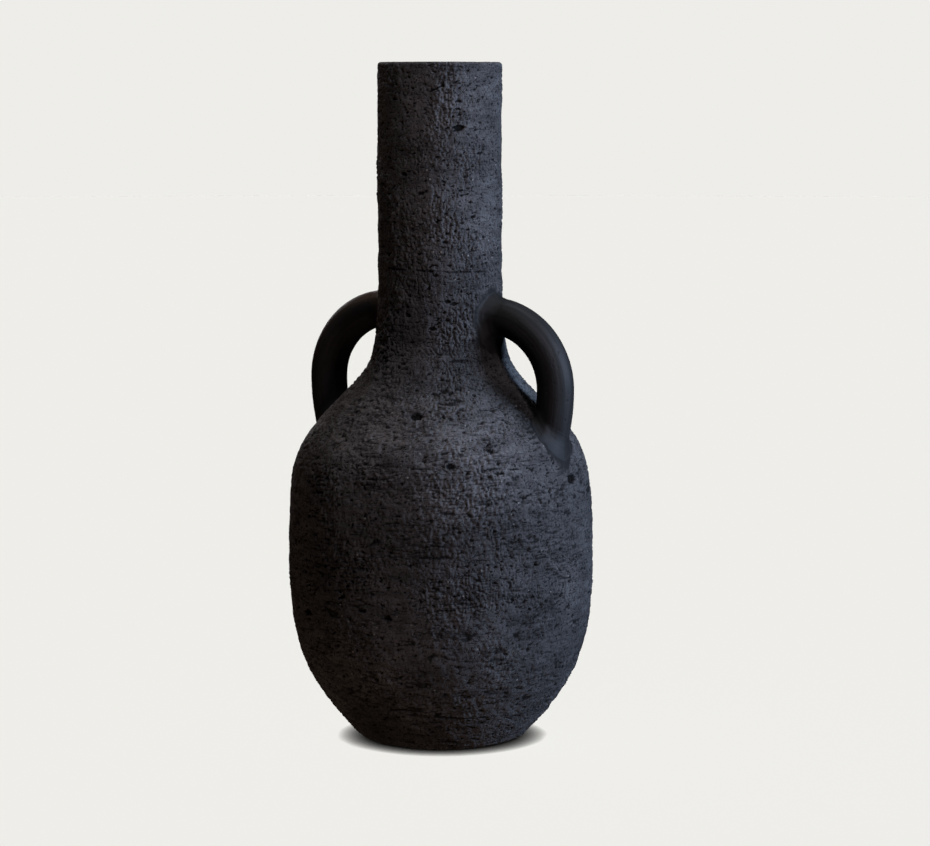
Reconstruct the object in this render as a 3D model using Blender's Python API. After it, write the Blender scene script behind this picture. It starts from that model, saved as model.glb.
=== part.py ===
"""Two-handled black clay jar, coil-built: clay rings laid on a dished base, and two handles luted on.

Metres, +Z up. The origin is the centre of the foot, where the jar stands. The handles lie along X.
"""
import math

import bmesh
import bpy
from mathutils import Vector
from mathutils.geometry import interpolate_bezier

# Overall sizes
HEIGHT = 0.400
WALL = 0.007
FLOOR = 0.010
GAP = 0.0003

# Outer outline, from the foot to the rim: radius, height, and the reach of the curve each side of the point
FOOT_FLAT_R = 0.0420
FOOT_EDGE_R = 0.0120
FOOT_SLOPE = math.radians(45.0)
FOOT_REACH = 0.0520
BELLY_R, BELLY_Z = 0.0902, 0.1125
BELLY_REACH_DOWN, BELLY_REACH_UP = 0.0455, 0.0527
SHOULDER_R, SHOULDER_Z = 0.0743, 0.1867
SHOULDER_LEAN = math.radians(39.7)
SHOULDER_REACH_DOWN, SHOULDER_REACH_UP = 0.0170, 0.0450
NECK_R, NECK_Z = 0.0365, 0.2732
NECK_REACH = 0.0642
LIP_R = 0.0020

# Seams between the clay rings, as heights on the outside, and how far each bevelled seam climbs inwards
SEAM_CLIMB = 0.0050
RINGS = (
    ("belly_ring_lower", 0.0245, 0.0885),
    ("belly_ring_middle", 0.0885, 0.1195),
    ("belly_ring_upper", 0.1195, 0.1700),
    ("shoulder_ring", 0.1700, 0.2270),
    ("neck_ring_lower", 0.2270, 0.2795),
    ("neck_ring_upper", 0.2795, 0.3345),
)
BASE_SEAM = RINGS[0][1]
RIM_SEAM = RINGS[-1][2]

# Handles: a round roll of clay that leaves the neck level, turns down, and leans in to the shoulder
HANDLE_NECK_R, HANDLE_SHOULDER_R = 0.0109, 0.01075
HANDLE_TOP_Z = 0.2535
HANDLE_START_X = 0.030
CROOK_X = 0.034
CROOK_R = 0.042
LEG_R = 0.105
LEG_TURN = math.radians(11.0)
LEG_END = 0.020
HANDLE_SETS = (("right", 0.0, -0.00105), ("left", math.pi, 0.00105))

# Luting fillets: soft clay pressed round each end of a handle
FILLET_OUT = 0.0060
FILLET_UP = 0.0090
FILLET_EDGE = 0.0008

# Roundness of the meshes
WALL_SIDES = 48
HANDLE_STATIONS = 16
HANDLE_BEVEL = 6
FILLET_SIDES = 24
OUTLINE_TURN = math.radians(9.0)
OUTLINE_STEP = 0.016
CUTTER_TURN = math.radians(3.0)
CUTTER_LOW, CUTTER_HIGH = 0.150, 0.300

CLAY_BODY = (0.030, 0.029, 0.031)
CLAY_WIPED = (0.036, 0.035, 0.038)
CLAY_SLIP = (0.033, 0.032, 0.035)


# ---------------------------------------------------------------- outline

def bezier_run(start, start_handle, end_handle, end, count=80):
    """Points (radius, height) of one smooth stretch, without its last point."""
    corners = [Vector((r, 0.0, z)) for r, z in (start, start_handle, end_handle, end)]
    return [(p.x, p.z) for p in interpolate_bezier(*corners, count)][:-1]


def arc_run(centre, radius, first, last, count):
    """Points (radius, height) of an arc, both ends included."""
    angles = [first + (last - first) * i / count for i in range(count + 1)]
    return [(centre[0] + radius * math.cos(a), centre[1] + radius * math.sin(a)) for a in angles]


def outer_outline():
    """The outside of the jar, from the edge of its flat foot to just under the lip."""
    foot = arc_run((FOOT_FLAT_R, FOOT_EDGE_R), FOOT_EDGE_R, -math.pi / 2, FOOT_SLOPE - math.pi / 2, 6)
    start = foot.pop()
    start_handle = (start[0] + FOOT_REACH * math.cos(FOOT_SLOPE), start[1] + FOOT_REACH * math.sin(FOOT_SLOPE))
    belly, shoulder, neck = (BELLY_R, BELLY_Z), (SHOULDER_R, SHOULDER_Z), (NECK_R, NECK_Z)
    lean = (-math.sin(SHOULDER_LEAN), math.cos(SHOULDER_LEAN))
    under = (SHOULDER_R - SHOULDER_REACH_DOWN * lean[0], SHOULDER_Z - SHOULDER_REACH_DOWN * lean[1])
    over = (SHOULDER_R + SHOULDER_REACH_UP * lean[0], SHOULDER_Z + SHOULDER_REACH_UP * lean[1])
    lower = bezier_run(start, start_handle, (BELLY_R, BELLY_Z - BELLY_REACH_DOWN), belly)
    upper = bezier_run(belly, (BELLY_R, BELLY_Z + BELLY_REACH_UP), under, shoulder)
    throat = bezier_run(shoulder, over, (NECK_R, NECK_Z - NECK_REACH), neck)
    return foot + lower + upper + throat + [neck, (NECK_R, HEIGHT - LIP_R)]


def inset(points, depth):
    """The same outline moved into the clay by a depth, or out of it by a negative one."""
    moved = []
    for i, (r, z) in enumerate(points):
        before, after = points[max(i - 1, 0)], points[min(i + 1, len(points) - 1)]
        along = Vector((after[0] - before[0], after[1] - before[1])).normalized()
        moved.append((r - depth * along.y, z + depth * along.x))
    return moved


OUTER = outer_outline()
INNER = inset(OUTER, WALL)
DISTANCE = [0.0]
for low, high in zip(OUTER, OUTER[1:]):
    DISTANCE.append(DISTANCE[-1] + math.dist(low, high))


def lookup(keys, values, key):
    """The value at key, read along a rising list of keys."""
    i = 1
    while i < len(keys) - 1 and keys[i] < key:
        i += 1
    share = (key - keys[i - 1]) / (keys[i] - keys[i - 1])
    return tuple(a + share * (b - a) for a, b in zip(values[i - 1], values[i]))


def distance_at(height):
    """Distance along the outer outline to a height on it."""
    return lookup([z for _, z in OUTER], [(d,) for d in DISTANCE], height)[0]


def outer_radius(height):
    """The jar's outside radius at a height."""
    return lookup([z for _, z in OUTER], OUTER, height)[0]


def stretch(line, first, last, turn=OUTLINE_TURN):
    """Points of OUTER or INNER between two distances, thinned to one for each turn of the curve."""
    dense = [lookup(DISTANCE, line, first)]
    dense += [point for point, d in zip(line, DISTANCE) if first < d < last]
    dense.append(lookup(DISTANCE, line, last))
    kept = [dense[0]]
    heading = None
    for here, ahead in zip(dense[1:], dense[2:]):
        way = math.atan2(ahead[1] - here[1], ahead[0] - here[0])
        heading = way if heading is None else heading
        if abs(way - heading) > turn or math.dist(kept[-1], here) > OUTLINE_STEP:
            kept.append(here)
            heading = way
    return kept + [dense[-1]]


# ---------------------------------------------------------------- shared makers

def clay(name, colour, roughness):
    """A fired clay material of one colour."""
    material = bpy.data.materials.new(name)
    material.use_nodes = True
    shader = material.node_tree.nodes["Principled BSDF"]
    shader.inputs["Base Color"].default_value = (*colour, 1.0)
    shader.inputs["Roughness"].default_value = roughness
    shader.inputs["Metallic"].default_value = 0.0
    return material


def finish_piece(name, mesh, colour, roughness):
    """Put a mesh in the scene as a named piece in its own clay."""
    mesh.materials.clear()
    mesh.materials.append(clay(name + "_clay", colour, roughness))
    mesh.shade_smooth()
    mesh.set_sharp_from_angle(angle=math.radians(35.0))
    piece = bpy.data.objects.new(name, mesh)
    bpy.context.scene.collection.objects.link(piece)
    return piece


def turned_mesh(name, outline):
    """Spin a closed outline of (radius, height) points round the jar's axis."""
    bm = bmesh.new()
    rim = [bm.verts.new((r, 0.0, z)) for r, z in outline]
    edges = [bm.edges.new(pair) for pair in zip(rim, rim[1:])]
    if outline[0][0] > 0.0:
        edges.append(bm.edges.new((rim[-1], rim[0])))
    bmesh.ops.spin(bm, geom=rim + edges, cent=(0, 0, 0), axis=(0, 0, 1), angle=2 * math.pi,
                   steps=WALL_SIDES, use_merge=True)
    bmesh.ops.remove_doubles(bm, verts=bm.verts, dist=1e-6)
    bmesh.ops.recalc_face_normals(bm, faces=bm.faces)
    mesh = bpy.data.meshes.new(name)
    bm.to_mesh(mesh)
    bm.free()
    return mesh


# ---------------------------------------------------------------- the jar's wall

SEAM_HALF = 0.5 * GAP * math.hypot(1.0, SEAM_CLIMB / WALL)


def seam_ends(height, side):
    """Where a bevelled seam starts outside and ends inside; side is -1 below the seam and 1 above it."""
    outside = distance_at(height) + side * SEAM_HALF
    return outside, outside + SEAM_CLIMB


def make_base_dish():
    """The pressed dish with the flat floor and the first band of the wall."""
    outside, inside = seam_ends(BASE_SEAM, -1)
    wall_inside = [p for p in reversed(stretch(INNER, 0.0, inside)) if p[1] > FLOOR]
    last, slope = wall_inside[-1], math.tan(FOOT_SLOPE)
    corner = (last[0] - (last[1] - FLOOR) / slope, FLOOR)
    outline = [(0.0, 0.0)] + stretch(OUTER, 0.0, outside) + wall_inside + [corner, (0.0, FLOOR)]
    finish_piece("base_dish", turned_mesh("base_dish", outline), CLAY_BODY, 0.60)


def make_wall_ring(name, low, high):
    """One ring of the wall between two bevelled seams."""
    low_out, low_in = seam_ends(low, 1)
    high_out, high_in = seam_ends(high, -1)
    outline = stretch(OUTER, low_out, high_out) + stretch(INNER, low_in, high_in)[::-1]
    finish_piece(name, turned_mesh(name, outline), CLAY_BODY, 0.60)


def make_rim_ring():
    """The last ring of the neck, ending in the flat rim with its two rounded edges."""
    low_out, low_in = seam_ends(RIM_SEAM, 1)
    top = HEIGHT - LIP_R
    outer_edge = arc_run((NECK_R - LIP_R, top), LIP_R, 0.0, math.pi / 2, 4)
    inner_edge = arc_run((NECK_R - WALL + LIP_R, top), LIP_R, math.pi / 2, math.pi, 4)
    start_out, start_in = lookup(DISTANCE, OUTER, low_out), lookup(DISTANCE, INNER, low_in)
    outline = [start_out] + outer_edge + inner_edge + [start_in]
    finish_piece("rim_ring", turned_mesh("rim_ring", outline), CLAY_BODY, 0.60)


# ---------------------------------------------------------------- handles

STUB = CROOK_X - HANDLE_START_X
CROOK_LENGTH = CROOK_R * math.pi / 2
LEG_LENGTH = LEG_R * LEG_TURN
HANDLE_LENGTH = STUB + CROOK_LENGTH + LEG_LENGTH + LEG_END


def handle_frame(distance):
    """Centre, and the direction away from the crook, at a distance along the right handle."""
    crook = Vector((CROOK_X, 0.0, HANDLE_TOP_Z - CROOK_R))
    leg = crook + Vector((CROOK_R - LEG_R, 0.0, 0.0))
    turned = distance - STUB
    if turned < 0.0:
        centre, radius, angle = crook, CROOK_R, math.pi / 2
    elif turned < CROOK_LENGTH:
        centre, radius, angle = crook, CROOK_R, math.pi / 2 - turned / CROOK_R
    else:
        centre, radius, angle = leg, LEG_R, -min((turned - CROOK_LENGTH) / LEG_R, LEG_TURN)
    away = Vector((math.cos(angle), 0.0, math.sin(angle)))
    onward = Vector((away.z, 0.0, -away.x))
    straight = min(turned, 0.0) + max(turned - CROOK_LENGTH - LEG_LENGTH, 0.0)
    return centre + radius * away + straight * onward, away


def handle_radius(distance):
    """The roll thins a little from the neck to the shoulder."""
    return HANDLE_NECK_R + (HANDLE_SHOULDER_R - HANDLE_NECK_R) * distance / HANDLE_LENGTH


def roll_mesh(name):
    """The clay roll along the handle's centre line, reaching into the wall at both ends."""
    curve = bpy.data.curves.new(name + "_line", "CURVE")
    curve.dimensions = "3D"
    curve.bevel_depth = HANDLE_NECK_R
    curve.bevel_resolution = HANDLE_BEVEL
    curve.use_fill_caps = True
    line = curve.splines.new("POLY")
    line.points.add(HANDLE_STATIONS)
    for i, point in enumerate(line.points):
        distance = HANDLE_LENGTH * i / HANDLE_STATIONS
        point.co = (*handle_frame(distance)[0], 1.0)
        point.radius = handle_radius(distance) / HANDLE_NECK_R
    carrier = bpy.data.objects.new(name + "_line", curve)
    mesh = bpy.data.meshes.new_from_object(carrier)
    bpy.data.objects.remove(carrier)
    bpy.data.curves.remove(curve)
    bm = bmesh.new()
    bm.from_mesh(mesh)
    bmesh.ops.remove_doubles(bm, verts=bm.verts, dist=1e-6)
    bmesh.ops.recalc_face_normals(bm, faces=bm.faces)
    bm.to_mesh(mesh)
    bm.free()
    return mesh


def make_wall_cutter():
    """A solid of the jar's outside with the gap added, which trims the handles' ends."""
    skin = inset(stretch(OUTER, distance_at(CUTTER_LOW), distance_at(CUTTER_HIGH), CUTTER_TURN), -GAP)
    outline = [(0.0, skin[0][1])] + skin + [(0.0, skin[-1][1])]
    cutter = bpy.data.objects.new("wall_cutter", turned_mesh("wall_cutter", outline))
    bpy.context.scene.collection.objects.link(cutter)
    cutter.hide_render = True
    cutter.display_type = "WIRE"
    return cutter


def make_handle(side, turn, lift, cutter):
    """One handle, with its two ends trimmed to the wall."""
    name = "handle_" + side
    handle = finish_piece(name, roll_mesh(name), CLAY_WIPED, 0.45)
    handle.location = (0.0, 0.0, lift)
    handle.rotation_euler = (0.0, 0.0, turn)
    trim = handle.modifiers.new("trim_to_wall", "BOOLEAN")
    trim.operation = "DIFFERENCE"
    trim.solver = "EXACT"
    trim.object = cutter


# ---------------------------------------------------------------- luting fillets

def wall_normal(point, lift):
    """Direction out of the wall next to a point."""
    step = 0.0005
    slope = (outer_radius(point.z + lift + step) - outer_radius(point.z + lift - step)) / (2 * step)
    level = Vector((point.x, point.y, 0.0)).normalized()
    return (level - Vector((0.0, 0.0, slope))).normalized()


def above_wall(point, lift):
    """How far a point stands outside the gap round the wall; negative inside it."""
    level = math.hypot(point.x, point.y) - outer_radius(point.z + lift)
    return level * wall_normal(point, lift).xy.length - GAP


def on_wall(point, lift):
    """The nearest point on the outside of the gap round the wall."""
    for _ in range(6):
        point = point - wall_normal(point, lift) * above_wall(point, lift)
    return point


def roll_point(distance, around, thickness):
    """A point on the handle's surface, or a thickness outside it."""
    centre, away = handle_frame(distance)
    spoke = math.cos(around) * away + math.sin(around) * Vector((0.0, 1.0, 0.0))
    return centre + (handle_radius(distance) + thickness) * spoke, spoke


def meeting_distance(around, inside, outside, thickness, lift):
    """Distance along the handle where its side at one angle meets the wall."""
    for _ in range(40):
        middle = 0.5 * (inside + outside)
        if above_wall(roll_point(middle, around, thickness)[0], lift) > 0.0:
            outside = middle
        else:
            inside = middle
    return outside


def fillet_section(around, inside, outside, lift):
    """Closed outline of the fillet's section at one angle round the handle."""
    snug = (HANDLE_NECK_R + GAP) / math.cos(math.pi / FILLET_SIDES) - HANDLE_NECK_R
    meeting = meeting_distance(around, inside, outside, snug, lift)
    up = math.copysign(FILLET_UP, outside - inside)
    corner, spoke = roll_point(meeting, around, snug)
    top = roll_point(meeting + up, around, snug)[0]
    top_edge = roll_point(meeting + up, around, snug + FILLET_EDGE)[0]
    normal = wall_normal(corner, lift)
    outward = (spoke - normal * spoke.dot(normal)).normalized()
    middle = on_wall(corner + 0.5 * FILLET_OUT * outward, lift)
    foot = on_wall(corner + FILLET_OUT * outward, lift)
    foot_edge = foot + FILLET_EDGE * wall_normal(foot, lift)
    pull = corner + 2 * FILLET_EDGE * (spoke + normal)
    hollow = interpolate_bezier(top_edge, top_edge.lerp(pull, 0.6), foot_edge.lerp(pull, 0.6), foot_edge, 5)
    return [corner, top] + hollow + [foot, middle]


def make_fillet(name, turn, lift, inside, outside):
    """A flared collar of clay between a handle's end and the wall; inside and outside bracket the wall."""
    bm = bmesh.new()
    rings = []
    for i in range(FILLET_SIDES):
        section = fillet_section(2 * math.pi * i / FILLET_SIDES, inside, outside, lift)
        rings.append([bm.verts.new(point) for point in section])
    for ring, following in zip(rings, rings[1:] + rings[:1]):
        for j in range(len(ring)):
            k = (j + 1) % len(ring)
            bm.faces.new((ring[j], ring[k], following[k], following[j]))
    bmesh.ops.recalc_face_normals(bm, faces=bm.faces)
    mesh = bpy.data.meshes.new(name)
    bm.to_mesh(mesh)
    bm.free()
    fillet = finish_piece(name, mesh, CLAY_SLIP, 0.50)
    fillet.location = (0.0, 0.0, lift)
    fillet.rotation_euler = (0.0, 0.0, turn)


# ---------------------------------------------------------------- the whole jar

def make_jar():
    """Every piece of the jar, from the base up."""
    for leftover in list(bpy.data.objects):
        bpy.data.objects.remove(leftover)
    make_base_dish()
    for name, low, high in RINGS:
        make_wall_ring(name, low, high)
    make_rim_ring()
    cutter = make_wall_cutter()
    for side, turn, lift in HANDLE_SETS:
        make_handle(side, turn, lift, cutter)
        make_fillet("neck_fillet_" + side, turn, lift, 0.0, 0.5 * CROOK_LENGTH)
        make_fillet("shoulder_fillet_" + side, turn, lift, HANDLE_LENGTH, HANDLE_LENGTH - 0.045)


make_jar()
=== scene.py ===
"""Black chamotte jar with two luted handles: the looks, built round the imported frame."""
import itertools
import math

import bpy
import numpy as np
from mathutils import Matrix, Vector


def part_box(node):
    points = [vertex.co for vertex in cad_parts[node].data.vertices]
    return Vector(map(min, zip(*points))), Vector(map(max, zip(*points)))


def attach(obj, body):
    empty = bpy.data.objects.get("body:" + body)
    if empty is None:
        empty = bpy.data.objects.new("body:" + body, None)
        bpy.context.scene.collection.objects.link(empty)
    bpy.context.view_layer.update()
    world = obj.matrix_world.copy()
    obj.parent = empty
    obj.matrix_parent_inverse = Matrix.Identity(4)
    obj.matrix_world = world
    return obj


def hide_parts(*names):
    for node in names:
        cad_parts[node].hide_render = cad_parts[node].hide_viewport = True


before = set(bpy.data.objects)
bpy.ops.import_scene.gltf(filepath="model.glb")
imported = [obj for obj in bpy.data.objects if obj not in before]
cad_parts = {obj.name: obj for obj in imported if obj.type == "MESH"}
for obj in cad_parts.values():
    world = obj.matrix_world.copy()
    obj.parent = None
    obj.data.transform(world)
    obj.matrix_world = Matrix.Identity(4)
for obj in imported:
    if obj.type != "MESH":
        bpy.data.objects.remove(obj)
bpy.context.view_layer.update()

MM = 0.001
TURN = 2.0 * math.pi

# -------------------------------- the jar's sizes, as the frame has them

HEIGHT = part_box("rim_ring")[1].z
WALL = 7.0 * MM
FLOOR = 10.0 * MM

FOOT_FLAT_R = 42.0 * MM
FOOT_EDGE_R = 12.0 * MM
FOOT_SLOPE = math.radians(45.0)
FOOT_REACH = 52.0 * MM
BELLY_R, BELLY_Z = 90.2 * MM, 112.5 * MM
BELLY_REACH_DOWN, BELLY_REACH_UP = 45.5 * MM, 52.7 * MM
SHOULDER_R, SHOULDER_Z = 74.3 * MM, 186.7 * MM
SHOULDER_LEAN = math.radians(39.7)
SHOULDER_REACH_DOWN, SHOULDER_REACH_UP = 17.0 * MM, 45.0 * MM
NECK_R, NECK_Z = 36.5 * MM, 273.2 * MM
NECK_REACH = 64.2 * MM
LIP_R = 2.0 * MM

SEAM_CLIMB = 5.0 * MM
SEAM_TOUCH = 0.015 * MM
SEAMS = {
    "foot": 24.5 * MM,
    "low_belly": 88.5 * MM,
    "mid_belly": 119.5 * MM,
    "high_belly": 170.0 * MM,
    "throat": 227.0 * MM,
    "neck": 279.5 * MM,
    "rim": 334.5 * MM,
}
RINGS = (
    ("belly_ring_lower", "foot", "low_belly"),
    ("belly_ring_middle", "low_belly", "mid_belly"),
    ("belly_ring_upper", "mid_belly", "high_belly"),
    ("shoulder_ring", "high_belly", "throat"),
    ("neck_ring_lower", "throat", "neck"),
    ("neck_ring_upper", "neck", "rim"),
)

HANDLE_NECK_R, HANDLE_SHOULDER_R = 10.9 * MM, 10.75 * MM
HANDLE_TOP_Z = 253.5 * MM
HANDLE_START_X = 30.0 * MM
CROOK_X = 34.0 * MM
CROOK_R = 42.0 * MM
LEG_R = 105.0 * MM
LEG_TURN = math.radians(11.0)
LEG_END = 20.0 * MM
HANDLE_LIFT = 1.05 * MM
SIDES = {"right": (1.0, -HANDLE_LIFT), "left": (-1.0, HANDLE_LIFT)}

# the way the jar faces, and how far its hand-built axis wanders along it at the foot and the mouth
VIEW_TURN = math.radians(28.2)
FOOT_OUT, FOOT_OUT_TOP = 0.9 * MM, 0.20
NECK_BACK, NECK_BACK_FROM, NECK_BACK_TO = 0.25 * MM, 0.20, 0.40


# -------------------------------- small sums used everywhere

def ease(low, high, value):
    """0 below low, 1 above high, and smooth between; low may be the larger."""
    share = np.clip((value - low) / (high - low), 0.0, 1.0)
    return share * share * (3.0 - 2.0 * share)


def cap_soft(value, limit, softness):
    """Hold a height under a limit with a rounded knee, as a scraper does."""
    return value - softness * np.logaddexp(0.0, (value - limit) / softness)


def unit(vectors):
    """Each row scaled to length one."""
    return vectors / np.maximum(np.linalg.norm(vectors, axis=-1, keepdims=True), 1e-12)


def corner_hash(cell, seed):
    """A repeatable whole number for each corner of the noise lattice."""
    x, y, z = cell.T
    with np.errstate(over="ignore"):
        h = x * np.uint32(73856093) ^ y * np.uint32(19349663) ^ z * np.uint32(83492791)
        h = h ^ np.uint32(seed * 40503 + 7)
        h = (h ^ (h >> np.uint32(15))) * np.uint32(2246822519)
        h = (h ^ (h >> np.uint32(13))) * np.uint32(3266489917)
        return h ^ (h >> np.uint32(16))


def grain(points, size, seed):
    """Smooth noise, about -1 to 1, with lumps of a size in mm; size may be one number or three."""
    at = points / (np.asarray(size) * MM)
    low = np.floor(at)
    part = at - low
    blend = part ** 3 * (part * (part * 6.0 - 15.0) + 10.0)
    cell = low.astype(np.int64).astype(np.uint32)
    total = np.zeros(len(points))
    for corner in itertools.product((0, 1), repeat=3):
        h = corner_hash(cell + np.array(corner, np.uint32), seed)
        pull = np.zeros(len(points))
        for axis, side in enumerate(corner):
            slope = ((h >> np.uint32(10 * axis)) & np.uint32(1023)) / 511.5 - 1.0
            pull += slope * (part[:, axis] - side)
        for axis, side in enumerate(corner):
            pull *= blend[:, axis] if side else 1.0 - blend[:, axis]
        total += pull
    return total * 1.6


def curve_at(t, start, start_pull, end_pull, end):
    """A point of a smooth curve, at a share t of its way."""
    return ((1 - t) ** 3 * start + 3 * (1 - t) ** 2 * t * start_pull
            + 3 * (1 - t) * t ** 2 * end_pull + t ** 3 * end)


# -------------------------------- the wall's outline

def stretch(start, start_pull, end_pull, end):
    """Points of one smooth stretch of the outline, without its last."""
    t = np.linspace(0.0, 1.0, 240)[:-1, None]
    return curve_at(t, start, start_pull, end_pull, end)


def arc(centre, radius, first, last, count):
    """Points of an arc, both ends included."""
    angles = np.linspace(first, last, count)
    return np.stack([centre[0] + radius * np.cos(angles), centre[1] + radius * np.sin(angles)], 1)


def outer_outline():
    """Radius and height from the edge of the flat foot to just under the lip."""
    foot = arc((FOOT_FLAT_R, FOOT_EDGE_R), FOOT_EDGE_R, -math.pi / 2, FOOT_SLOPE - math.pi / 2, 40)
    start = foot[-1]
    belly = np.array([BELLY_R, BELLY_Z])
    shoulder = np.array([SHOULDER_R, SHOULDER_Z])
    neck = np.array([NECK_R, NECK_Z])
    rise = np.array([math.cos(FOOT_SLOPE), math.sin(FOOT_SLOPE)])
    lean = np.array([-math.sin(SHOULDER_LEAN), math.cos(SHOULDER_LEAN)])
    up = np.array([0.0, 1.0])
    return np.vstack([
        foot[:-1],
        stretch(start, start + FOOT_REACH * rise, belly - BELLY_REACH_DOWN * up, belly),
        stretch(belly, belly + BELLY_REACH_UP * up, shoulder - SHOULDER_REACH_DOWN * lean, shoulder),
        stretch(shoulder, shoulder + SHOULDER_REACH_UP * lean, neck - NECK_REACH * up, neck),
        np.linspace(neck, (NECK_R, HEIGHT - LIP_R), 60),
    ])


OUTLINE = outer_outline()
ALONG = np.concatenate([[0.0], np.cumsum(np.linalg.norm(np.diff(OUTLINE, axis=0), axis=1))])
TANGENT = unit(np.gradient(OUTLINE, ALONG, axis=0))


def tangent_at(distance):
    """Direction along the outline at a distance: its radial share and its upright share."""
    return np.interp(distance, ALONG, TANGENT[:, 0]), np.interp(distance, ALONG, TANGENT[:, 1])


def on_outline(distance, depth=0.0):
    """Radius and height at a distance along the outline, at a depth inside the clay."""
    r, z = np.interp(distance, ALONG, OUTLINE[:, 0]), np.interp(distance, ALONG, OUTLINE[:, 1])
    tr, tz = tangent_at(distance)
    return r - depth * tz, z + depth * tr


def distance_at(height):
    """Distance along the outline to a height."""
    return np.interp(height, OUTLINE[:, 1], ALONG)


def outer_radius(height):
    """The wall's outside radius at a height."""
    return np.interp(height, OUTLINE[:, 1], OUTLINE[:, 0])


def lean_of(z):
    """The jar's slight hand-built lean: how far its axis wanders at a height."""
    foot_out = FOOT_OUT * np.clip(1.0 - z / FOOT_OUT_TOP, 0.0, 1.0) ** 1.5
    neck_back = -NECK_BACK * ease(NECK_BACK_FROM, NECK_BACK_TO, z)
    return (foot_out + neck_back)[:, None] * np.array([math.cos(VIEW_TURN), math.sin(VIEW_TURN), 0.0])


# -------------------------------- the clay's skin

# Stones torn out by the scraper: angle round the jar from the right handle; height, width and depth in mm
TORN_PITS = (
    (-44.4, 362.2, 3.0, 1.4), (-96.5, 335.5, 1.9, 0.8), (-79.3, 324.5, 1.8, 0.8), (-37.6, 334.0, 1.4, 0.7),
    (-29.2, 310.8, 1.5, 0.8), (-54.6, 262.0, 1.8, 0.9), (-68.5, 246.2, 2.0, 1.0), (-74.0, 197.8, 2.9, 1.5),
    (-57.6, 171.8, 2.5, 1.3), (-40.6, 179.5, 2.1, 1.1), (-0.9, 159.5, 4.2, 2.2), (-122.2, 81.8, 3.4, 1.4),
    (-92.2, 88.0, 2.2, 0.9), (-81.7, 84.5, 2.4, 0.9), (-32.8, 73.2, 1.8, 0.8), (-2.1, 79.2, 1.7, 0.8),
    (64.0, 214.0, 2.4, 1.2), (118.0, 141.0, 2.6, 1.2), (151.0, 66.0, 2.8, 1.3), (95.0, 318.0, 2.2, 1.0),
    (141.0, 371.0, 1.9, 0.9), (38.0, 104.0, 2.5, 1.1), (-152.0, 128.0, 2.3, 1.0), (76.0, 47.0, 2.2, 1.0),
)
PIT_ACROSS, PIT_UPRIGHT, PIT_SPREAD = 0.62, 1.15, 0.66

# Stretches where a seam or a drag has stayed open: first angle, last angle, height at each and depth in mm
OPEN_LINES = (
    (-121.0, -70.0, 280.5, 279.6, 0.45), (-66.0, -12.0, 278.9, 278.6, 0.40), (-90.0, -72.0, 27.8, 28.0, 0.55),
    (-69.0, -34.0, 24.9, 21.7, 0.65), (-25.0, -17.0, 21.0, 20.6, 0.60), (-56.0, -31.0, 227.5, 228.4, 0.50),
    (-52.6, -47.6, 212.0, 212.3, 0.45), (-84.0, -60.0, 170.8, 170.0, 0.40),
    (-89.5, -74.6, 119.6, 120.4, 0.35), (-71.0, -58.0, 120.1, 119.9, 0.45),
    (-64.0, -56.0, 90.1, 90.2, 0.55), (-111.0, -89.0, 97.0, 101.0, 0.30),
    (20.0, 66.0, 280.0, 279.0, 0.45), (92.0, 150.0, 24.0, 26.5, 0.55), (48.0, 80.0, 118.6, 120.2, 0.40),
    (110.0, 170.0, 279.4, 280.6, 0.40), (-175.0, -140.0, 25.8, 24.4, 0.50),
    (120.0, 149.0, 169.3, 170.6, 0.40), (10.0, 34.0, 88.2, 89.4, 0.40), (-160.0, -128.0, 227.4, 226.2, 0.40),
)
LINE_WIDTH, LINE_DEPTH = 0.58 * MM, 1.35


def around_gap(angles, target):
    """Signed angle from a target, the short way round."""
    return (angles - target + math.pi) % TURN - math.pi


def torn_pits(points, angles, radii):
    """Depth of the torn pits, wider than tall and with ragged rims."""
    depth = np.zeros(len(points))
    rag = grain(points, 1.3, 61)
    for turn, height, width, deep in TORN_PITS:
        across = around_gap(angles, math.radians(turn)) * radii * PIT_ACROSS
        upright = (points[:, 2] - height * MM) * PIT_UPRIGHT
        close = np.hypot(across, upright) / (PIT_SPREAD * width * MM)
        depth = np.maximum(depth, deep * MM * ease(1.25, 0.85, close + 0.40 * rag))
    return depth


def open_lines(points, angles):
    """Depth of the seams and drags that stayed open: thin, wandering and broken."""
    depth = np.zeros(len(points))
    wander = 0.55 * MM * grain(points, 9.0, 71) + 0.25 * MM * grain(points, 2.6, 72)
    broken = ease(-0.45, 0.05, grain(points, 5.0, 73))
    for first, last, low, high, deep in OPEN_LINES:
        middle, half = math.radians(0.5 * (first + last)), math.radians(0.5 * (last - first))
        gap = around_gap(angles, middle)
        line = MM * (0.5 * (low + high) + 0.5 * (high - low) * np.clip(gap / half, -1.2, 1.2))
        ends = ease(1.0, 0.75, np.abs(gap) / half)
        width = LINE_WIDTH * (0.6 + 0.4 * ends)
        cut = np.exp(-((points[:, 2] - line - wander) / width) ** 2)
        depth = np.maximum(depth, LINE_DEPTH * deep * MM * cut * ends * broken)
    return depth


def creased(points, size, seed):
    """Rounded lumps with sharp creases between them, about 0 to 1."""
    return np.abs(grain(points, size, seed)) * 1.6


def scraped_lumps(points, level, patch):
    """Lumps of grit with their tops scraped flat, in mm; bolder on the throat, where the scraper turns."""
    lumps = 1.05 * creased(level, (2.4, 2.4, 4.2), 15) + 0.62 * creased(level, (1.5, 1.5, 2.2), 16)
    tooth = 0.20 * grain(points, 0.95, 17)
    throat = ease(0.190, 0.215, points[:, 2]) * ease(0.262, 0.240, points[:, 2])
    return (cap_soft(lumps + tooth, 0.50 + 0.60 * patch, 0.10) - 0.62) * (1.0 + 0.35 * throat)


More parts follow.
